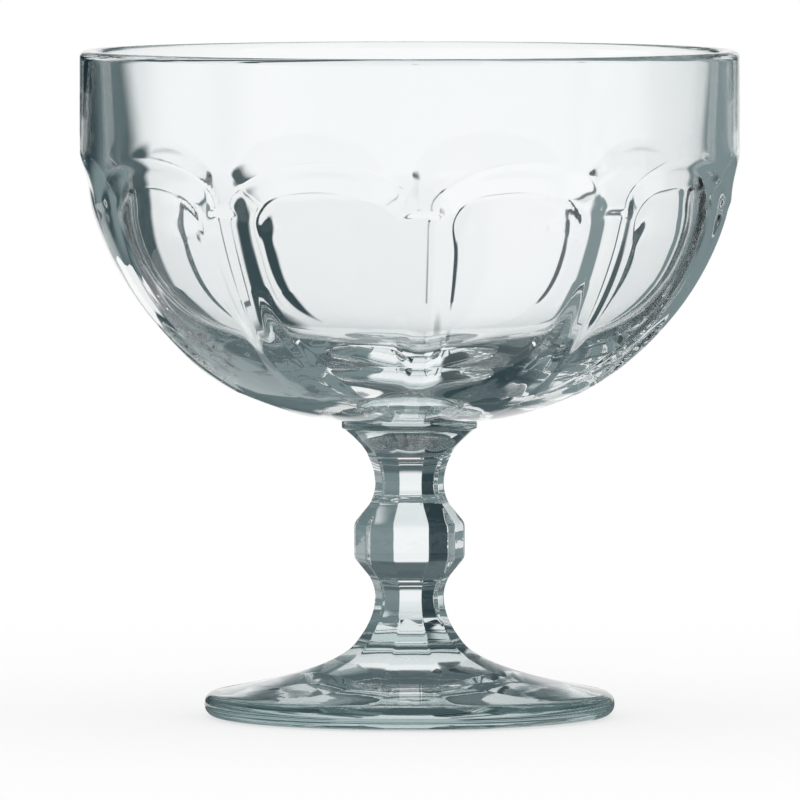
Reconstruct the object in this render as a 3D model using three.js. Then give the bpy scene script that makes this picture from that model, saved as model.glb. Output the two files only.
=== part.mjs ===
import * as THREE from "three";

// A footed coupe of pressed clear glass, standing on z = 0 with its axis on Z.
// The pieces are stacked from the foot up and meet at flat fused faces.
// Lengths are in millimetres, angles in degrees, and -Y is the front.

// Foot: a round spreading disc whose star of facets runs up into the stem
const footRadius = 33.6;
const footHeight = 12.4;
const footEdgeHeight = 3.9;
const footEdgeRound = 1;
const footNeckRadius = 8.5;
const footNeckSlope = 2;
const footNeckDrop = 3.2;
const footSpreadRadius = 18;
const footSpreadHeight = 6.6;
const footStarRadius = 28;
const footRingWidth = 5;
const footRecessDepth = 1.2;

// Stem: two waisted necks with a bevelled knop between them, all ten-sided
const stemSides = 10;
const lowerStemHeight = 10.1;
const lowerThroatRadius = 5.65;
const lowerThroatHeight = 7.2;
const lowerStemTopRadius = 6.4;
const knopHeight = 12.5;
const knopRadius = 9.1;
const knopBevel = 3.4;
const upperStemHeight = 7.6;
const upperThroatRadius = 5.65;
const upperThroatHeight = 3;
const upperStemFootRadius = 6.4;
const upperStemTopRadius = 6.8;

// Collar: a thin round disc under the bowl, flaring out of the upper neck
const collarHeight = 5.8;
const collarRadius = 11.1;
const collarDiscHeight = 1.3;
const collarFlare = 1.4;

// Bowl: a plain band at the rim over a round body cut with arched panels
const rimRadius = 54;
const rimWall = 4;
const rimSquareness = 3;
const bowlHeight = 60.6;
const bowlBase = 7.1;
const bandHeight = 17;
const bodyCentreDrop = 14;
const bodyBulge = 1.5;
const undersideRadius = 29.6;
const undersideRise = 5.1;
const insideTaper = 1;
const insideFullness = 2.7;

// Panels: flat cuts inside a bevel, each under an arch, with a let-in land between each two
const panelCount = 10;
const panelHalfAngle = 13.8;
const panelFootHalfAngle = 13.3;
const panelTopDrop = 1;
const panelRise = 9;
const bevelWidth = 3.2;
const bevelDepth = 1;
const flatTopDrop = 3.5;
const flatRunOut = 12;
const landHalfAngle = 16;
const landRise = 7;
const landRelief = 0.4;
const landStepWidth = 1.6;

// Steps round and along the curved surfaces
const roundSteps = 40;
const curveSteps = 8;
const archSteps = 8;
const panelSteps = 8;
const footSideSteps = 6;
const rowCrowding = 1.3;
const leastColumnAngle = 1;

// Heights of the joint faces, from the foot up
const lowerStemZ = footHeight;
const knopZ = lowerStemZ + lowerStemHeight;
const upperStemZ = knopZ + knopHeight;
const collarZ = upperStemZ + upperStemHeight;
const bowlZ = collarZ + collarHeight;
const rimZ = bowlZ + bowlHeight;

const degrees = Math.PI / 180;
const facetStart = -180 / stemSides;
const glass = { color: 0xdfe9e8, roughness: 0.05, metalness: 0 };

function point(radius, z) {
  return new THREE.Vector2(radius, z);
}

// Turns a closed profile round Z, with its first column at the angle given
function turned(profile, columns, firstAngle = 0) {
  const geometry = new THREE.LatheGeometry(profile, columns, firstAngle * degrees);
  geometry.rotateX(Math.PI / 2);
  return geometry;
}

// Moves each vertex of a turned profile to the radius, angle and height that move() gives
function reshaped(geometry, rows, move) {
  const position = geometry.attributes.position;
  for (let index = 0; index < position.count; index += 1) {
    const column = Math.floor(index / rows);
    const radius = Math.hypot(position.getX(index), position.getY(index));
    const place = move(column, radius, position.getZ(index), index % rows);
    position.setX(index, place.radius * Math.sin(place.angle * degrees));
    position.setY(index, -place.radius * Math.cos(place.angle * degrees));
    position.setZ(index, place.z);
  }
  geometry.computeVertexNormals();
  return geometry;
}

function piece(name, geometry) {
  const mesh = new THREE.Mesh(geometry, new THREE.MeshStandardMaterial(glass));
  mesh.name = name;
  return mesh;
}

// A waisted neck: the radius grows as a parabola from the throat to each end
function neckProfile(bottomZ, neckHeight, throatHeight, bottomRadius, throatRadius, topRadius) {
  const profile = [point(0, bottomZ)];
  for (let step = 0; step <= curveSteps; step += 1) {
    const height = (neckHeight * step) / curveSteps;
    const below = height < throatHeight;
    const reach = below ? throatHeight : neckHeight - throatHeight;
    const share = (height - throatHeight) / reach;
    const spread = (below ? bottomRadius : topRadius) - throatRadius;
    profile.push(point(throatRadius + spread * share * share, bottomZ + height));
  }
  profile.push(point(0, bottomZ + neckHeight));
  return profile;
}

function lowerStem() {
  const profile = neckProfile(
    lowerStemZ, lowerStemHeight, lowerThroatHeight,
    footNeckRadius, lowerThroatRadius, lowerStemTopRadius,
  );
  return piece("lower_stem", turned(profile, stemSides, facetStart));
}

function upperStem() {
  const profile = neckProfile(
    upperStemZ, upperStemHeight, upperThroatHeight,
    upperStemFootRadius, upperThroatRadius, upperStemTopRadius,
  );
  return piece("upper_stem", turned(profile, stemSides, facetStart));
}

function knop() {
  const top = knopZ + knopHeight;
  const profile = [
    point(0, knopZ),
    point(lowerStemTopRadius, knopZ),
    point(knopRadius, knopZ + knopBevel),
    point(knopRadius, top - knopBevel),
    point(upperStemFootRadius, top),
    point(0, top),
  ];
  return piece("knop", turned(profile, stemSides, facetStart));
}

function collar() {
  const flareHeight = collarHeight - collarDiscHeight;
  const profile = [point(0, collarZ)];
  for (let step = 0; step <= curveSteps; step += 1) {
    const share = step / curveSteps;
    const radius = upperStemTopRadius
      + (collarRadius - upperStemTopRadius) * share ** collarFlare;
    profile.push(point(radius, collarZ + flareHeight * share));
  }
  profile.push(point(collarRadius, bowlZ));
  profile.push(point(0, bowlZ));
  return piece("collar", turned(profile, roundSteps, 0));
}

// The foot stands on a flat ring round a domed recess, and its upper face is one curve
function footProfile() {
  const ringRadius = footRadius - footEdgeRound;
  const recessRadius = ringRadius - footRingWidth;
  const profile = [
    point(0, footRecessDepth),
    point(recessRadius / 2, footRecessDepth * (1 - 1 / 4)),
    point(recessRadius, 0),
    point(ringRadius, 0),
    point(footRadius, footEdgeRound),
    point(footRadius, footEdgeHeight - footEdgeRound),
  ];
  const top = new THREE.CubicBezierCurve(
    point(ringRadius, footEdgeHeight),
    point(footSpreadRadius, footSpreadHeight),
    point(footNeckRadius + footNeckSlope, footHeight - footNeckDrop),
    point(footNeckRadius, footHeight),
  );
  profile.push(...top.getPoints(curveSteps));
  profile.push(point(0, footHeight));
  return profile;
}

// How far the section is a ten-sided star: wholly at the stem, not at all at the edge
function starShare(radius, z) {
  if (z < footEdgeHeight) {
    return 0;
  }
  const share = (footStarRadius - radius) / (footStarRadius - footNeckRadius);
  return Math.min(1, Math.max(0, share));
}

function foot() {
  const profile = footProfile();
  const columns = stemSides * footSideSteps;
  const side = 360 / stemSides;
  const geometry = reshaped(turned(profile, columns), profile.length, (column, radius, z) => {
    const along = ((column % footSideSteps) / footSideSteps - 0.5) * side;
    const flat = Math.cos((side / 2) * degrees) / Math.cos(along * degrees);
    const star = starShare(radius, z);
    return {
      radius: radius * (1 - star * (1 - flat)),
      angle: facetStart + ((column % columns) * side) / footSideSteps,
      z,
    };
  });
  return piece("foot", geometry);
}

const archTopZ = rimZ - bandHeight;
const landSpringZ = archTopZ - landRise;
const panelTopZ = archTopZ - panelTopDrop;
const panelSpringZ = panelTopZ - panelRise;
const flatTopZ = archTopZ - flatTopDrop;
const undersideZ = bowlZ + undersideRise;
const bodyCentreZ = rimZ - bodyCentreDrop;
const panelSpan = 360 / panelCount;
const landMiddle = panelSpan / 2;
const bevelAngle = bevelWidth / (rimRadius * degrees);

function held(share) {
  return Math.min(1, Math.max(0, share));
}

// The uncut outside of the bowl: a band over an ellipse that ends at the underside
function bodyRadius(z) {
  const widest = rimRadius + bodyBulge;
  const reach = Math.sqrt(1 - (undersideRadius / widest) ** 2);
  const drop = Math.max(0, (bodyCentreZ - z) / (bodyCentreZ - undersideZ)) * reach;
  return Math.min(rimRadius, widest * Math.sqrt(1 - drop * drop));
}

// Half the panel's width, in degrees: narrower towards the underside
function panelHalf(z) {
  const share = held((z - undersideZ) / (panelSpringZ - undersideZ));
  return panelFootHalfAngle + (panelHalfAngle - panelFootHalfAngle) * share;
}

// Distance inside an outline with straight sides and an arched top
function archReach(angle, z, halfAngle, springZ, rise) {
  const halfWidth = halfAngle * degrees * rimRadius;
  const across = angle / halfAngle;
  const up = Math.max(0, z - springZ) / rise;
  const share = Math.hypot(across, up);
  const slope = Math.hypot(across / halfWidth, up / rise);
  return slope === 0 ? halfWidth : ((1 - share) * share) / slope;
}

// Depth of the cut below the body: the let-in land, then the panel's bevel inside it,
// then a flat floor inside the bevel, which runs out towards the arch
function cutDepth(angle, z, radius) {
  const inArch = archReach(angle, z, landHalfAngle, landSpringZ, landRise);
  const land = landRelief * held(Math.max(inArch, landSpringZ - z) / landStepWidth);
  const half = panelHalf(z);
  const inPanel = archReach(angle, z, half, panelSpringZ, panelRise);
  const bevel = bevelDepth * held(inPanel / bevelWidth);
  const runOut = Math.max(0, 1 - (flatTopZ - z) / flatRunOut);
  const sink = radius * (1 - Math.cos((half - bevelAngle) * degrees)) * (1 - runOut ** 2);
  const flat = Math.max(0, radius - (radius - sink) / Math.cos(angle * degrees));
  return land + bevel + flat;
}

// Half of an arch's width at a height, in degrees
function archHalf(z, halfAngle, springZ, rise) {
  const up = held((z - springZ) / rise);
  return halfAngle * Math.sqrt(1 - up * up);
}

// Angles of the columns from the panel's middle to the land's, following the arches
function columnAngle(step, z) {
  if (z >= archTopZ) {
    return (landMiddle * step) / (panelSteps / 2);
  }
  const half = panelHalf(z);
  const innerArch = archHalf(z, half - bevelAngle, panelSpringZ, panelRise - bevelWidth);
  const inner = Math.max(leastColumnAngle, innerArch);
  const outerArch = archHalf(z, half, panelSpringZ, panelRise);
  const outer = Math.max(inner + leastColumnAngle, outerArch);
  const landArch = archHalf(z, landHalfAngle, landSpringZ, landRise);
  const land = Math.max(outer + leastColumnAngle, landArch);
  return [0, inner, outer, land, landMiddle][step];
}

// The underside is a plain cone from the collar out to the body's lower corner
function undersideProfile() {
  return [
    point(0, bowlZ),
    point(collarRadius, bowlZ),
    point((collarRadius + undersideRadius) / 2, (bowlZ + undersideZ) / 2),
  ];
}

function bodyProfile() {
  const heights = [];
  for (let step = 0; step < curveSteps; step += 1) {
    heights.push(undersideZ + (panelSpringZ - undersideZ) * (step / curveSteps) ** rowCrowding);
  }
  for (let step = 0; step <= archSteps; step += 1) {
    heights.push(panelSpringZ + ((archTopZ - panelSpringZ) * step) / archSteps);
  }
  return heights.map((z) => point(bodyRadius(z), z));
}

// The rim is rounded over the whole thickness of the wall, a little squarely
function rimProfile() {
  const lip = rimWall / 2;
  const profile = [];
  for (let step = 0; step <= curveSteps; step += 1) {
    const turn = (step / curveSteps) * Math.PI;
    const side = Math.sign(Math.cos(turn));
    const across = side * Math.abs(Math.cos(turn)) ** (2 / rimSquareness);
    const up = Math.abs(Math.sin(turn)) ** (2 / rimSquareness);
    profile.push(point(rimRadius - lip + lip * across, rimZ - lip + lip * up));
  }
  return profile;
}

function insideProfile() {
  const floorZ = bowlZ + bowlBase;
  const bendRadius = rimRadius - rimWall - insideTaper;
  const depth = bodyCentreZ - floorZ;
  const profile = [];
  const steps = curveSteps + 2;
  for (let step = 0; step < steps; step += 1) {
    const turn = (step / steps) * (Math.PI / 2);
    const across = Math.cos(turn) ** (2 / insideFullness);
    const down = Math.sin(turn) ** (2 / insideFullness);
    profile.push(point(bendRadius * across, bodyCentreZ - depth * down));
  }
  profile.push(point(0, floorZ));
  return profile;
}

// The body's lower corner is scalloped by the panels, and stays on the underside's cone
function bowl() {
  const underside = undersideProfile();
  const body = bodyProfile();
  const profile = [...underside, ...body, ...rimProfile(), ...insideProfile()];
  const cornerRow = underside.length;
  const coneSlope = undersideRise / (undersideRadius - collarRadius);
  const columns = panelCount * panelSteps;
  const middle = panelSteps / 2;
  const geometry = reshaped(turned(profile, columns), profile.length, (column, radius, z, row) => {
    const panel = Math.floor((column % columns) / panelSteps);
    const step = (column % panelSteps) - middle;
    const isBody = row >= cornerRow && row < cornerRow + body.length;
    const angle = Math.sign(step) * columnAngle(Math.abs(step), isBody ? z : rimZ);
    const depth = isBody ? cutDepth(angle, z, radius) : 0;
    return {
      radius: radius - depth,
      angle: (panel + 0.5) * panelSpan + angle,
      z: row === cornerRow ? z - depth * coneSlope : z,
    };
  });
  return piece("bowl", geometry);
}

const glassCoupe = new THREE.Group();
glassCoupe.add(foot(), lowerStem(), knop(), upperStem(), collar(), bowl());

export default glassCoupe;
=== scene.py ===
import bpy
import math
import numpy as np
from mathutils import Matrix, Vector


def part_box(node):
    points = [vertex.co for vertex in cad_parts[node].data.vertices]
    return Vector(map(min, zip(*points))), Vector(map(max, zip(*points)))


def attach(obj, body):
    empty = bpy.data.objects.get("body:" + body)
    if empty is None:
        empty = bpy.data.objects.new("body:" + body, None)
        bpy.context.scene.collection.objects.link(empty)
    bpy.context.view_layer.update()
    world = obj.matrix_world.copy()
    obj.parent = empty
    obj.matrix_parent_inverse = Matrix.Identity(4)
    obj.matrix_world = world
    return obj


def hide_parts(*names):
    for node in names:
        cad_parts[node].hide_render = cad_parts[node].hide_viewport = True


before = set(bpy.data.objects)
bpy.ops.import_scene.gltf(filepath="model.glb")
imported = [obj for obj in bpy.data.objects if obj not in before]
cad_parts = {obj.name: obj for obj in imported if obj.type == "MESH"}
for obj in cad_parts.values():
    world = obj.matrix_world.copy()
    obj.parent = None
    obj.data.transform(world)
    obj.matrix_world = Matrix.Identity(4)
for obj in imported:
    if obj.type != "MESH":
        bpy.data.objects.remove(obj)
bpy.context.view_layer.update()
print("frame loaded:", sorted(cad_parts))

mm = 0.001
scene = bpy.context.scene
scene.view_settings.view_transform = "Standard"
# light goes to and fro many times inside thick glass
scene.cycles.max_bounces = 40
scene.cycles.glossy_bounces = 24
scene.cycles.transmission_bounces = 32
scene.cycles.transparent_max_bounces = 24

# the photograph's view: a long lens, a little above the rim
cameraSet = {
    "frameSize": 800, "axisX": 409.5, "groundY": 716.0,     # in the frame's pixels
    "pixelsPerMm": 6.11,
    "distance": 2.2, "height": 0.170, "azimuth": -2.2, "sensor": 36.0, "near": 0.05, "far": 50.0,
}


def makeCamera():
    # the frame's middle, as a point on the plane through the glass's axis
    middle = cameraSet["frameSize"] / 2
    pixelsPerMetre = cameraSet["pixelsPerMm"] / mm
    aimSide = (middle - cameraSet["axisX"]) / pixelsPerMetre
    aimUp = (cameraSet["groundY"] - middle) / pixelsPerMetre
    turn = math.radians(cameraSet["azimuth"])
    right = Vector((math.cos(turn), math.sin(turn), 0))
    back = Vector((math.sin(turn), -math.cos(turn), 0))
    eye = back * cameraSet["distance"] + Vector((0, 0, cameraSet["height"])) + right * aimSide
    aim = right * aimSide + Vector((0, 0, aimUp))
    reach = (aim - eye).length
    data = bpy.data.cameras.new("photoCamera")
    data.sensor_width = cameraSet["sensor"]
    data.lens = cameraSet["sensor"] * pixelsPerMetre * reach / cameraSet["frameSize"]
    data.clip_start = cameraSet["near"]
    data.clip_end = cameraSet["far"]
    camera = bpy.data.objects.new("photoCamera", data)
    camera.location = eye
    camera.rotation_euler = (aim - eye).to_track_quat("-Z", "Y").to_euler()
    scene.collection.objects.link(camera)
    scene.camera = camera
    pitch = math.degrees(math.atan2(eye.z - aim.z, reach))
    print("camera: lens", round(data.lens, 1), "mm, pitch", round(pitch, 2), "degrees")


makeCamera()


# shader node helpers
def link(tree, outSocket, inSocket):
    tree.links.new(outSocket, inSocket)


def feed(tree, value, socket):
    # a socket takes another node's output, a colour or a number
    if isinstance(value, bpy.types.NodeSocket):
        link(tree, value, socket)
    else:
        socket.default_value = value + (1,) if isinstance(value, tuple) else value


def mathNode(tree, operation, *values):
    node = tree.nodes.new("ShaderNodeMath")
    node.operation = operation
    for value, socket in zip(values, node.inputs):
        feed(tree, value, socket)
    return node.outputs[0]


def mapRange(tree, value, low, high, outLow=0.0, outHigh=1.0):
    node = tree.nodes.new("ShaderNodeMapRange")
    node.interpolation_type = "SMOOTHSTEP"
    for name, number in (("From Min", low), ("From Max", high), ("To Min", outLow), ("To Max", outHigh)):
        node.inputs[name].default_value = number
    link(tree, value, node.inputs["Value"])
    return node.outputs["Result"]


def mixColour(tree, share, first, second, blend="MIX"):
    node = tree.nodes.new("ShaderNodeMix")
    node.data_type = "RGBA"
    node.blend_type = blend
    # by number, because the node has sockets of the same names for other kinds
    for number, value in ((0, share), (6, first), (7, second)):
        feed(tree, value, node.inputs[number])
    return node.outputs[2]


def splitCoord(tree, kind):
    coord = tree.nodes.new("ShaderNodeTexCoord")
    split = tree.nodes.new("ShaderNodeSeparateXYZ")
    link(tree, coord.outputs[kind], split.inputs[0])
    return split.outputs


def axisDistance(tree):
    # how far a point of the object lies from the upright axis, in metres
    coord = tree.nodes.new("ShaderNodeTexCoord")
    flat = tree.nodes.new("ShaderNodeVectorMath")
    flat.operation = "MULTIPLY"
    flat.inputs[1].default_value = (1, 1, 0)
    link(tree, coord.outputs["Object"], flat.inputs[0])
    away = tree.nodes.new("ShaderNodeVectorMath")
    away.operation = "LENGTH"
    link(tree, flat.outputs[0], away.inputs[0])
    return away.outputs["Value"]


def startGroup(name, inputs, outputs):
    group = bpy.data.node_groups.new(name, "ShaderNodeTree")
    for socketName, value in inputs.items():
        kind = "NodeSocketColor" if isinstance(value, tuple) else "NodeSocketFloat"
        socket = group.interface.new_socket(name=socketName, in_out="INPUT", socket_type=kind)
        socket.default_value = value + (1,) if isinstance(value, tuple) else value
    for socketName, kind in outputs.items():
        group.interface.new_socket(name=socketName, in_out="OUTPUT", socket_type=kind)
    given = group.nodes.new("NodeGroupInput").outputs
    result = group.nodes.new("NodeGroupOutput").inputs
    return group, given, result


def placeGroup(tree, group, values):
    node = tree.nodes.new("ShaderNodeGroup")
    node.node_tree = group
    for name, value in values.items():
        feed(tree, value, node.inputs[name])
    return node.outputs


# the studio: white to the eye, and for what the glass bends, white sweeps between dark flags
backSweep = {
    "White": (1.0, 1.0, 1.0), "Dark": (0.020, 0.042, 0.050), "Mid": (0.200, 0.260, 0.270),
    "Centre": 5.0, "Half": 12.5, "Soft": 2.0, "Dark Reach": 26.0,       # in degrees round the glass
}
flagFade = {"start": -0.1, "from": 0.7, "to": 1.3}      # as shares of the dark flag's reach
studioSet = {
    "sideSweep": {"Centre": -90.0, "Half": 15.0, "Soft": 6.0},      # for a look from the right
    "frontFrom": -0.10, "frontTo": -0.60,               # the even room in front, by the direction's Y
    "frontColour": (0.75, 0.77, 0.77),
    "topFrom": 9.0, "topTo": 16.0,                      # where the walls end, in degrees up
    "topColour": (0.09, 0.125, 0.135),
    "lampFrom": 66.0, "lampTo": 76.0,                   # the soft box overhead
    "lampColour": (0.15, 0.15, 0.15),
    "softLight": (1.0, 1.0, 1.0),
}


def sweepGroup():
    # colour of the studio in a direction round the glass
    group, given, result = startGroup("studioSweep", {"X": 0.0, "Y": 1.0, **backSweep},
                                      {"Colour": "NodeSocketColor", "White Share": "NodeSocketFloat"})
    azimuth = mathNode(group, "DEGREES", mathNode(group, "ARCTAN2", given["X"], given["Y"]))
    fromCentre = mathNode(group, "SUBTRACT", azimuth, given["Centre"])
    side = mathNode(group, "WRAP", fromCentre, 180.0, -180.0)
    beyond = mathNode(group, "SUBTRACT", mathNode(group, "ABSOLUTE", side), given["Half"])
    inWhite = mapRange(group, mathNode(group, "DIVIDE", beyond, given["Soft"]), -1.0, 1.0, 1.0, 0.0)
    # a dark flag on the left of the white, with mid grey past it and on the right
    leftwards = mathNode(group, "SUBTRACT", mathNode(group, "MULTIPLY", side, -1.0), given["Half"])
    leftShare = mathNode(group, "DIVIDE", leftwards, given["Dark Reach"])
    pastFlag = mapRange(group, leftShare, flagFade["from"], flagFade["to"])
    onRight = mapRange(group, leftShare, flagFade["start"], 0.0, 1.0, 0.0)
    gap = mixColour(group, mathNode(group, "MAXIMUM", pastFlag, onRight), given["Dark"], given["Mid"])
    link(group, mixColour(group, inWhite, gap, given["White"]), result["Colour"])
    link(group, inWhite, result["White Share"])
    return group


studioSweep = sweepGroup()


def placeSweep(tree, direction, changes):
    return placeGroup(tree, studioSweep, {**backSweep, **changes, "X": direction["X"], "Y": direction["Y"]})


def bentRays(tree):
    # 1 for what is seen through the glass or mirrored in it
    paths = tree.nodes.new("ShaderNodeLightPath").outputs
    bent = mathNode(tree, "MAXIMUM", paths["Is Glossy Ray"], paths["Is Transmission Ray"])
    return mathNode(tree, "MULTIPLY", bent, mathNode(tree, "SUBTRACT", 1.0, paths["Is Camera Ray"]))


def makeWorld():
    world = bpy.data.worlds.new("whiteStudio")
    scene.world = world
    world.use_nodes = True
    tree = world.node_tree
    tree.nodes.clear()
    direction = splitCoord(tree, "Generated")
    back = placeSweep(tree, direction, {})
    side = placeSweep(tree, direction, studioSet["sideSweep"])
    wall = mixColour(tree, side["White Share"], back["Colour"], backSweep["White"])
    inFront = mapRange(tree, direction["Y"], studioSet["frontFrom"], studioSet["frontTo"])
    wall = mixColour(tree, inFront, wall, studioSet["frontColour"])
    height = mathNode(tree, "DEGREES", mathNode(tree, "ARCSINE", direction["Z"]))
    overTop = mapRange(tree, height, studioSet["topFrom"], studioSet["topTo"])
    wall = mixColour(tree, overTop, wall, studioSet["topColour"])
    inLamp = mapRange(tree, height, studioSet["lampFrom"], studioSet["lampTo"])
    wall = mixColour(tree, inLamp, wall, studioSet["lampColour"])
    background = tree.nodes.new("ShaderNodeBackground")
    link(tree, mixColour(tree, bentRays(tree), studioSet["softLight"], wall), background.inputs["Color"])
    background.inputs["Strength"].default_value = 1.0
    output = tree.nodes.new("ShaderNodeOutputWorld")
    link(tree, background.outputs[0], output.inputs["Surface"])
    print("studio made")


makeWorld()

floorSet = {
    "radius": 0.45, "drop": 0.0002, "sides": 128, "albedo": 0.35, "glow": 0.65,
    # a painted shadow: the floor's glow, as the glass bends it, darkens near the foot
    "paintedShadeColour": (0.84, 0.875, 0.88), "paintedShadeFrom": 0.05, "paintedShadeTo": 0.18,
    # white strips behind the glass, for a look from the front, the front right and the back left
    "strips": ({"Half": 13.0}, {"Centre": -46.0, "Half": 19.0}, {"Centre": 135.0, "Half": 22.0}),
}


def floorMaterial():
    material = bpy.data.materials.new("paleFloor")
    material.use_nodes = True
    tree = material.node_tree
    tree.nodes.clear()
    diffuse = tree.nodes.new("ShaderNodeBsdfDiffuse")
    diffuse.inputs["Color"].default_value = (floorSet["albedo"],) * 3 + (1,)
    glow = tree.nodes.new("ShaderNodeEmission")
    glow.inputs["Strength"].default_value = floorSet["glow"]
    plain = tree.nodes.new("ShaderNodeAddShader")
    link(tree, diffuse.outputs[0], plain.inputs[0])
    link(tree, glow.outputs[0], plain.inputs[1])
    direction = splitCoord(tree, "Object")
    first, *others = [placeSweep(tree, direction, strip) for strip in floorSet["strips"]]
    look = first["Colour"]
    for strip in others:
        look = mixColour(tree, strip["White Share"], look, backSweep["White"])
    # painted shadow: round the foot the glass stands in its own shade, painted as a darker glow of the floor
    # for what the glass bends
    inShade = mapRange(tree, axisDistance(tree), floorSet["paintedShadeFrom"], floorSet["paintedShadeTo"], 1.0, 0.0)
    shade = mixColour(tree, inShade, backSweep["White"], floorSet["paintedShadeColour"])
    bentLook = tree.nodes.new("ShaderNodeEmission")
    link(tree, mixColour(tree, 1.0, look, shade, "MULTIPLY"), bentLook.inputs["Color"])
    both = tree.nodes.new("ShaderNodeMixShader")
    link(tree, bentRays(tree), both.inputs[0])
    link(tree, plain.outputs[0], both.inputs[1])
    link(tree, bentLook.outputs[0], both.inputs[2])
    output = tree.nodes.new("ShaderNodeOutputMaterial")
    link(tree, both.outputs[0], output.inputs["Surface"])
    return material


def makeFloor():
    sides, reach = floorSet["sides"], floorSet["radius"]
    turns = [2 * math.pi * step / sides for step in range(sides)]
    points = [(reach * math.cos(turn), reach * math.sin(turn), -floorSet["drop"]) for turn in turns]
    mesh = bpy.data.meshes.new("paleFloor")
    mesh.from_pydata(points, [], [list(range(sides))])
    mesh.materials.append(floorMaterial())
    floor = bpy.data.objects.new("paleFloor", mesh)
    scene.collection.objects.link(floor)
    print("floor made")


makeFloor()


# effects shared by the glass materials
def noise(tree, scale, detail):
    coord = tree.nodes.new("ShaderNodeTexCoord")
    node = tree.nodes.new("ShaderNodeTexNoise")
    link(tree, coord.outputs["Object"], node.inputs["Vector"])
    link(tree, scale, node.inputs["Scale"])
    node.inputs["Detail"].default_value = detail
    return node.outputs["Fac"]


waveDetail = {"broad": 1.0, "fine": 2.0}
cordNoise = {"detail": 2.0, "from": 0.35, "to": 0.65}
hazeNoise = {"detail": 3.0, "from": 0.45, "to": 0.75}


def pressedWaveGroup():
    # the slow waves that the press and the fire leave on the skin, as a height
    group, given, result = startGroup(
        "pressedWave", {"Broad Scale": 40.0, "Fine Scale": 220.0, "Fine Share": 0.2},
        {"Height": "NodeSocketFloat"})
    broad = noise(group, given["Broad Scale"], waveDetail["broad"])
    fine = noise(group, given["Fine Scale"], waveDetail["fine"])
    link(group, mathNode(group, "MULTIPLY_ADD", fine, given["Fine Share"], broad), result["Height"])
    return group


def glassTintGroup():
    # glass looks a little greener and greyer where the melt is cordy, with a painted shade at a disc's edge
    group, given, result = startGroup(
        "tintAndEdgeShade", {"Clear": (0.95, 0.97, 0.97), "Cordy": (0.90, 0.94, 0.94), "Scale": 25.0,
                      "Edge Shade": (0.90, 0.94, 0.94), "Edge From": 1.0, "Edge Width": 1.0},
        {"Colour": "NodeSocketColor"})
    cordy = mapRange(group, noise(group, given["Scale"], cordNoise["detail"]),
                     cordNoise["from"], cordNoise["to"])
    colour = mixColour(group, cordy, given["Clear"], given["Cordy"])
    # painted shade: light runs a long way through a disc before it leaves by the edge, so the colour darkens
    # towards the rim
    past = mathNode(group, "SUBTRACT", axisDistance(group), given["Edge From"])
    atEdge = mapRange(group, mathNode(group, "DIVIDE", past, given["Edge Width"]), 0.0, 1.0)
    link(group, mixColour(group, atEdge, colour, given["Edge Shade"]), result["Colour"])
    return group


def fireSkinGroup():
    # faint wiping haze and fine wear, as a roughness
    group, given, result = startGroup("fireSkin", {"Smooth": 0.0, "Hazy": 0.02, "Scale": 60.0},
                                      {"Roughness": "NodeSocketFloat"})
    hazy = mapRange(group, noise(group, given["Scale"], hazeNoise["detail"]),
                    hazeNoise["from"], hazeNoise["to"])
    spread = mathNode(group, "SUBTRACT", given["Hazy"], given["Smooth"])
    link(group, mathNode(group, "MULTIPLY_ADD", hazy, spread, given["Smooth"]), result["Roughness"])
    return group


pressedWave = pressedWaveGroup()
tintAndEdgeShade = glassTintGroup()
fireSkin = fireSkinGroup()
glassIor = 1.52


def glassMaterial(name, glass):
    material = bpy.data.materials.new(name)
    material.use_nodes = True
    tree = material.node_tree
    shader = tree.nodes["Principled BSDF"].inputs
    shader["Metallic"].default_value = 0.0
    shader["Transmission Weight"].default_value = 1.0
    shader["IOR"].default_value = glassIor
    link(tree, placeGroup(tree, tintAndEdgeShade, glass["tint"])["Colour"], shader["Base Color"])
    link(tree, placeGroup(tree, fireSkin, glass["skin"])["Roughness"], shader["Roughness"])
    bump = tree.nodes.new("ShaderNodeBump")
    bump.inputs["Strength"].default_value = 1.0
    bump.inputs["Distance"].default_value = glass["waveHeight"] * mm
    link(tree, placeGroup(tree, pressedWave, glass["wave"])["Height"], bump.inputs["Height"])
    link(tree, bump.outputs["Normal"], shader["Normal"])
    print("material made:", name)
    return material


def jointMaterial():
    # where two pieces of hot glass have run into one there is no surface left to see
    material = bpy.data.materials.new("fusedJoint")
    material.use_nodes = True
    shader = material.node_tree.nodes["Principled BSDF"].inputs
    shader["Base Color"].default_value = (0.95, 0.97, 0.97, 1)
    shader["Alpha"].default_value = 0.0
    return material


fusedJoint = jointMaterial()


# meshes from rings of points in mm, one ring for each row of a piece's outline
def ring(radius, angles, z):
    return np.stack([radius * np.sin(angles), -radius * np.cos(angles), np.full_like(angles, z)], axis=1)


def ringMesh(name, rings, startCap, endCap, glass):
    # a cap is a fused joint or more of the glass's own skin
    rows, columns = len(rings), len(rings[0])
    faces = []
    for row in range(rows - 1):
        low, high = row * columns, (row + 1) * columns
        for step in range(columns):
            after = (step + 1) % columns
            faces.append((low + step, low + after, high + after, high + step))
    faces.append(tuple(reversed(range(columns))))
    faces.append(tuple(range((rows - 1) * columns, rows * columns)))
    mesh = bpy.data.meshes.new(name)
    mesh.from_pydata((np.concatenate(rings) * mm).tolist(), [], faces)
    mesh.materials.append(glass)
    mesh.materials.append(fusedJoint)
    mesh.polygons.foreach_set("use_smooth", [True] * len(faces))
    for cap, index in ((startCap, len(faces) - 2), (endCap, len(faces) - 1)):
        if cap == "joint":
            mesh.polygons[index].material_index = 1
            mesh.polygons[index].use_smooth = False
    mesh.update()
    piece = bpy.data.objects.new(name, mesh)
    scene.collection.objects.link(piece)
    return piece


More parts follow.
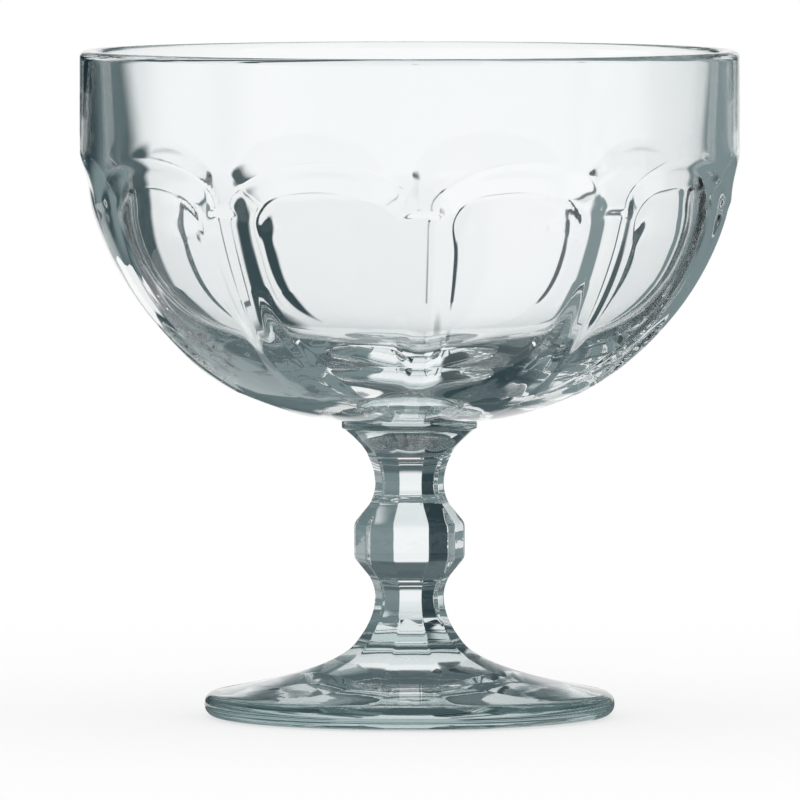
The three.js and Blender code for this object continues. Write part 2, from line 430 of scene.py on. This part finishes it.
def softRamp(value, soft):
    # 0 below 0 and 1 above 1, straight between, with rounded corners
    def bend(x):
        return soft * np.logaddexp(0, x / soft)
    return bend(value) - bend(value - 1)


def smoothShare(value, low, high):
    share = np.clip((value - low) / (high - low), 0, 1)
    return share * share * (3 - 2 * share)


def seatPiece(piece, node):
    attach(piece, "root")
    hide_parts(node)
    print("piece made:", piece.name, len(piece.data.polygons), "faces")


def nodeHeights(node):
    low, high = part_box(node)
    return low.z / mm, high.z / mm


# radius of each face where two pieces are fused, in mm like all sizes of the glass below
jointRadius = {"foot": 8.5, "knop": 6.4, "collar": 6.8, "bowl": 11.1}

# stem: ten flat sides with fire-rounded edges
stemSet = {
    "sides": 10, "edgeSharpness": 130.0, "columnsPerSide": 20,
    "glass": {
        "tint": {"Clear": (0.91, 0.94, 0.943), "Cordy": (0.87, 0.91, 0.913), "Scale": 60.0,
                 # the edge colour is a painted shade towards the rim of the collar's disc
                 "Edge Shade": (0.36, 0.46, 0.47), "Edge From": 9.3 * mm, "Edge Width": 1.1 * mm},
        "skin": {"Smooth": 0.0, "Hazy": 0.02, "Scale": 90.0},
        "wave": {"Broad Scale": 90.0, "Fine Scale": 400.0, "Fine Share": 0.1},
        "waveHeight": 0.06,
    },
}
stemGlass = glassMaterial("stemGlass", stemSet["glass"])


def sideAngles():
    # columns crowd towards the edges between the sides
    sides, steps = stemSet["sides"], stemSet["columnsPerSide"]
    share = np.arange(steps) / steps * 2 - 1
    crowded = (1.5 * share - 0.5 * share ** 3) / 2
    side = 2 * np.pi / sides
    return np.concatenate([crowded * side + number * side for number in range(sides)])


def sidedRadius(radius, angles, flatness):
    # radius runs to the edges; flatness 1 is a ten-sided section and 0 is a circle
    side = 2 * np.pi / stemSet["sides"]
    away = np.abs((angles + side / 2) % side - side / 2)
    power = stemSet["edgeSharpness"]
    near = (np.cos(away) ** power + np.cos(side - away) ** power) ** (1 / power)
    flat = math.cos(side / 2) / near
    return radius * (1 - flatness * (1 - flat))


def sidedPiece(name, node, rows):
    angles = sideAngles()
    rings = [ring(sidedRadius(radius, angles, 1.0), angles, z) for radius, z in rows]
    piece = ringMesh(name, rings, "joint", "joint", stemGlass)
    seatPiece(piece, node)


def neckRows(node, neck):
    # a waist, with its throat between two parabolas
    bottom, top = nodeHeights(node)
    throat = bottom + neck["throatUp"]
    rows = []
    for step in range(neck["rows"] + 1):
        z = bottom + (top - bottom) * step / neck["rows"]
        reach = throat - bottom if z < throat else top - throat
        spread = (neck["footRadius"] if z < throat else neck["topRadius"]) - neck["throatRadius"]
        rows.append((neck["throatRadius"] + spread * ((z - throat) / reach) ** 2, z))
    return rows


lowerStemSet = {
    "footRadius": jointRadius["foot"], "throatRadius": 5.65, "throatUp": 7.2,
    "topRadius": jointRadius["knop"], "rows": 28,
}


def makeLowerStem():
    sidedPiece("lowerStem", "lower_stem", neckRows("lower_stem", lowerStemSet))


upperStemSet = {
    "footRadius": jointRadius["knop"], "throatRadius": 5.65, "throatUp": 3.0,
    "topRadius": jointRadius["collar"], "rows": 24,
}


def makeUpperStem():
    sidedPiece("upperStem", "upper_stem", neckRows("upper_stem", upperStemSet))


knopSet = {"radius": 9.1, "endRadius": jointRadius["knop"], "bevel": 3.4, "soft": 0.06, "rows": 48}


def makeKnop():
    bottom, top = nodeHeights("knop")
    start = softRamp(0.0, knopSet["soft"])
    rows = []
    for step in range(knopSet["rows"] + 1):
        z = bottom + (top - bottom) * step / knopSet["rows"]
        rise = softRamp(min(z - bottom, top - z) / knopSet["bevel"], knopSet["soft"])
        share = (rise - start) / (1 - start)
        rows.append((knopSet["endRadius"] + (knopSet["radius"] - knopSet["endRadius"]) * share, z))
    sidedPiece("knop", "knop", rows)


# collar: a neck that flares and turns round before it meets the thin disc
collarSet = {
    "neckRadius": jointRadius["collar"], "radius": jointRadius["bowl"], "disc": 1.3, "flare": 1.4,
    "roundBy": 0.55, "edge": 0.25, "rows": 24, "edgeRows": 8,
}


def makeCollar():
    bottom, top = nodeHeights("collar")
    angles = sideAngles()
    edge, discZ = collarSet["edge"], top - collarSet["disc"]
    flareRadius = collarSet["radius"] - edge
    spread = flareRadius - collarSet["neckRadius"]
    rings = []
    for step in range(collarSet["rows"] + 1):
        share = step / collarSet["rows"]
        radius = collarSet["neckRadius"] + spread * share ** collarSet["flare"]
        flatness = 1 - smoothShare(share, 0.0, collarSet["roundBy"])
        rings.append(ring(sidedRadius(radius, angles, flatness), angles, bottom + (discZ - bottom) * share))
    for step in range(1, collarSet["edgeRows"] + 1):
        turn = math.pi / 2 * step / collarSet["edgeRows"]
        rings.append(ring(flareRadius + edge * math.sin(turn), angles, discZ + edge * (1 - math.cos(turn))))
    rings.append(ring(collarSet["radius"], angles, top))
    piece = ringMesh("collar", rings, "joint", "joint", stemGlass)
    seatPiece(piece, "collar")


# foot: a spreading disc on a flat ring, its facets fading out before the round edge
footSet = {
    "radius": 33.6, "edgeHeight": 3.9, "edgeRound": 1.9, "neckRadius": jointRadius["foot"],
    "neckSlope": 2.0, "neckDrop": 3.2, "spreadRadius": 18.0, "spreadHeight": 6.6,
    "starRadius": 29.0, "ringWidth": 5.0, "recessDepth": 1.2, "recessFlat": 0.45,
    "topRows": 60, "edgeRows": 10, "recessRows": 14,
    "glass": {
        "tint": {"Clear": (0.95, 0.97, 0.97), "Cordy": (0.91, 0.94, 0.94), "Scale": 45.0,
                 # the edge colour is a painted shade round the foot's rim
                 "Edge Shade": (0.44, 0.55, 0.55), "Edge From": 31.8 * mm, "Edge Width": 1.2 * mm},
        "skin": {"Smooth": 0.02, "Hazy": 0.06, "Scale": 70.0},
        "wave": {"Broad Scale": 60.0, "Fine Scale": 300.0, "Fine Share": 0.15},
        "waveHeight": 0.08,
    },
}
footGlass = glassMaterial("footGlass", footSet["glass"])


def makeFoot():
    top = nodeHeights("foot")[1]
    angles = sideAngles()
    edge = footSet["edgeRound"]
    ringRadius = footSet["radius"] - edge
    recessRadius = ringRadius - footSet["ringWidth"]
    rings = []
    for step in range(1, footSet["recessRows"] + 1):
        share = step / footSet["recessRows"]
        z = footSet["recessDepth"] * (1 - smoothShare(share, footSet["recessFlat"], 1.0))
        rings.append(ring(recessRadius * share, angles, z))
    # the round of the edge ends where it meets the slope of the upper face
    slope = math.atan2(footSet["spreadHeight"] - footSet["edgeHeight"], ringRadius - footSet["spreadRadius"])
    lowerRound = (edge, 0.0, math.pi / 2)
    upperRound = (footSet["edgeHeight"] - edge, math.pi / 2, math.pi - slope)
    for centre, first, last in (lowerRound, upperRound):
        for step in range(footSet["edgeRows"] + 1):
            turn = first + (last - first) * step / footSet["edgeRows"]
            radius, z = ringRadius + edge * math.sin(turn), centre - edge * math.cos(turn)
            rings.append(ring(radius, angles, z))
    # one curve from the end of that round up to the stem
    start = np.array((radius, z))
    pullOut = np.array((footSet["spreadRadius"], footSet["spreadHeight"]))
    pullUp = np.array((footSet["neckRadius"] + footSet["neckSlope"], top - footSet["neckDrop"]))
    end = np.array((footSet["neckRadius"], top))
    for step in range(1, footSet["topRows"] + 1):
        t = step / footSet["topRows"]
        radius, z = ((1 - t) ** 3 * start + 3 * (1 - t) ** 2 * t * pullOut
                     + 3 * (1 - t) * t * t * pullUp + t ** 3 * end)
        share = (footSet["starRadius"] - radius) / (footSet["starRadius"] - footSet["neckRadius"])
        rings.append(ring(sidedRadius(radius, angles, np.clip(share, 0, 1)), angles, z))
    piece = ringMesh("foot", rings, "skin", "joint", footGlass)
    seatPiece(piece, "foot")


# bowl: a plain band over a round body with bevelled flat panels under arches
bowlSet = {
    "rimRadius": 54.0, "wall": 3.2, "base": 7.1, "bandHeight": 17.0, "bandSoft": 0.25, "lipSquareness": 3.0,
    "centreDrop": 14.0, "bulge": 1.5, "insideTaper": 0.6, "insideFullness": 2.7,
    "bossRadius": jointRadius["bowl"],
    "undersideRadius": 29.6, "undersideRise": 5.1, "undersideFullness": 1.6,
    "columnsPerPanel": 48, "undersideRows": 24, "cornerRows": (0.15, 0.3, 0.5), "bodyRows": 50,
    "rowCrowding": 1.2, "rowStep": 0.4, "archMargin": 1.0, "lipRows": 24, "insideRows": 60,
    "panels": {         # halves are in degrees round the axis
        "count": 10, "half": 16.2, "footHalf": 16.0, "topDrop": 1.0, "rise": 9.0,
        "bevelWidth": 3.2, "bevelDepth": 0.9, "bevelSoft": 0.08,
        "fieldTopDrop": 3.5, "runOut": 12.0, "fieldSoft": 0.04, "fieldShare": 0.5,
        "fadeHeight": 12.0, "footDepth": 0.3,
    },
    "lands": {"half": 16.0, "rise": 7.0, "relief": 0.4, "stepWidth": 1.6, "soft": 0.12},
    "glass": {
        "tint": {"Clear": (0.985, 0.995, 0.995), "Cordy": (0.97, 0.985, 0.985), "Scale": 30.0},
        "skin": {"Smooth": 0.0, "Hazy": 0.015, "Scale": 60.0},
        "wave": {"Broad Scale": 45.0, "Fine Scale": 260.0, "Fine Share": 0.1},
        "waveHeight": 0.015,
    },
}
panels, lands = bowlSet["panels"], bowlSet["lands"]
leastAngle = 0.001      # keeps a panel's middle line off zero
bowlGlass = glassMaterial("bowlGlass", bowlSet["glass"])
bowlZ, rimZ = nodeHeights("bowl")
archTop = rimZ - bowlSet["bandHeight"]
lowerEdgeZ = bowlZ + bowlSet["undersideRise"]


def bodyRadius(z):
    # an ellipse that runs softly into the straight band
    rim, soft = bowlSet["rimRadius"], bowlSet["bandSoft"]
    widest = rim + bowlSet["bulge"]
    reach = math.sqrt(1 - (bowlSet["undersideRadius"] / widest) ** 2)
    centre = rimZ - bowlSet["centreDrop"]
    drop = max(0.0, (centre - z) / (centre - lowerEdgeZ)) * reach
    ellipse = widest * math.sqrt(1 - drop * drop)
    return rim - soft * np.logaddexp(0, (rim - ellipse) / soft)


def archReach(away, z, top, half, rise):
    # distance in mm inside an outline with straight sides and an arched top
    perDegree = bowlSet["rimRadius"] * math.pi / 180
    up = max(0.0, z - top + rise)
    away = np.maximum(away, leastAngle)
    share = np.hypot(away / half, up / rise)
    slope = np.hypot(away / (half * half * perDegree), up / rise ** 2)
    return (1 - share) * share / slope


def landDepth(away, z):
    # the lands and all that lies between them are a step inside the band
    inside = archReach(away, z, archTop, lands["half"], lands["rise"])
    inside = np.maximum(inside, archTop - lands["rise"] - z)
    return lands["relief"] * softRamp(inside / lands["stepWidth"], lands["soft"])


def bevelDepth(away, z, half):
    inside = archReach(away, z, archTop - panels["topDrop"], half, panels["rise"])
    return panels["bevelDepth"] * softRamp(inside / panels["bevelWidth"], panels["bevelSoft"])


def fieldDepth(away, z, radius, half):
    # the flat field of a panel, which runs out under the arch
    runOut = max(0.0, 1 - (archTop - panels["fieldTopDrop"] - z) / panels["runOut"])
    fieldHalf = half - math.degrees(panels["bevelWidth"] / bowlSet["rimRadius"])
    middle = radius * (1 - math.cos(math.radians(fieldHalf))) * (1 - runOut ** 2)
    depth = radius - (radius - middle) / np.cos(np.radians(away))
    return panels["fieldShare"] * panels["fieldSoft"] * np.logaddexp(0, depth / panels["fieldSoft"])


def cutDepth(degrees, z, radius):
    # how far the lands, the bevels and the fields lie inside the round body
    span = 360 / panels["count"]
    away = np.abs(degrees % span - span / 2)
    archFoot = archTop - panels["topDrop"] - panels["rise"]
    share = min(1.0, max(0.0, (z - lowerEdgeZ) / (archFoot - lowerEdgeZ)))
    half = panels["footHalf"] + (panels["half"] - panels["footHalf"]) * share
    depth = landDepth(away, z) + bevelDepth(away, z, half) + fieldDepth(away, z, radius, half)
    # the cuts grow shallow before the lower edge
    kept = smoothShare(z, lowerEdgeZ, lowerEdgeZ + panels["fadeHeight"])
    return depth * (panels["footDepth"] + (1 - panels["footDepth"]) * kept)


def undersideRings(angles, corner):
    # a full, rounded underside from the boss out to the scalloped lower edge of the panels
    boss = bowlSet["bossRadius"]
    rings = []
    for step in range(bowlSet["undersideRows"] + 1):
        share = step / bowlSet["undersideRows"]
        z = bowlZ + bowlSet["undersideRise"] * share ** bowlSet["undersideFullness"]
        rings.append(ring(boss + (corner - boss) * share, angles, z))
    return rings


def outsideHeights():
    # rows lie close together at the lower edge and across the arches
    fineFrom = archTop - panels["fieldTopDrop"] - panels["runOut"]
    fineTo = archTop + bowlSet["archMargin"]
    heights = [lowerEdgeZ + up for up in bowlSet["cornerRows"]]
    low = heights[-1]
    for step in range(1, bowlSet["bodyRows"]):
        share = (step / bowlSet["bodyRows"]) ** bowlSet["rowCrowding"]
        heights.append(low + (fineFrom - low) * share)
    count = int((fineTo - fineFrom) / bowlSet["rowStep"])
    return heights + [fineFrom + (fineTo - fineFrom) * step / count for step in range(count + 1)]


def lipRows():
    # a squarish round over the top of the wall
    lip, power = bowlSet["wall"] / 2, 2 / bowlSet["lipSquareness"]
    rows = []
    for step in range(bowlSet["lipRows"] + 1):
        turn = math.pi * step / bowlSet["lipRows"]
        across = math.copysign(abs(math.cos(turn)) ** power, math.cos(turn))
        rows.append((bowlSet["rimRadius"] - lip + lip * across, rimZ - lip + lip * math.sin(turn) ** power))
    return rows


def insideRows():
    floorZ = bowlZ + bowlSet["base"]
    bend = rimZ - bowlSet["centreDrop"]
    radius = bowlSet["rimRadius"] - bowlSet["wall"] - bowlSet["insideTaper"]
    power = 2 / bowlSet["insideFullness"]
    rows = []
    for step in range(bowlSet["insideRows"]):
        turn = math.pi / 2 * step / bowlSet["insideRows"]
        rows.append((radius * math.cos(turn) ** power, bend - (bend - floorZ) * math.sin(turn) ** power))
    return rows


def makeBowl():
    count = panels["count"] * bowlSet["columnsPerPanel"]
    degrees = np.arange(count) * 360 / count
    angles = np.radians(degrees)
    lowest = bowlSet["undersideRadius"]
    rings = undersideRings(angles, lowest - cutDepth(degrees, lowerEdgeZ, lowest))
    for z in outsideHeights():
        radius = bodyRadius(z)
        rings.append(ring(radius - cutDepth(degrees, z, radius), angles, z))
    rings += [ring(radius, angles, z) for radius, z in lipRows() + insideRows()]
    piece = ringMesh("bowl", rings, "joint", "skin", bowlGlass)
    seatPiece(piece, "bowl")


makeFoot()
makeLowerStem()
makeKnop()
makeUpperStem()
makeCollar()
makeBowl()

bpy.context.view_layer.update()
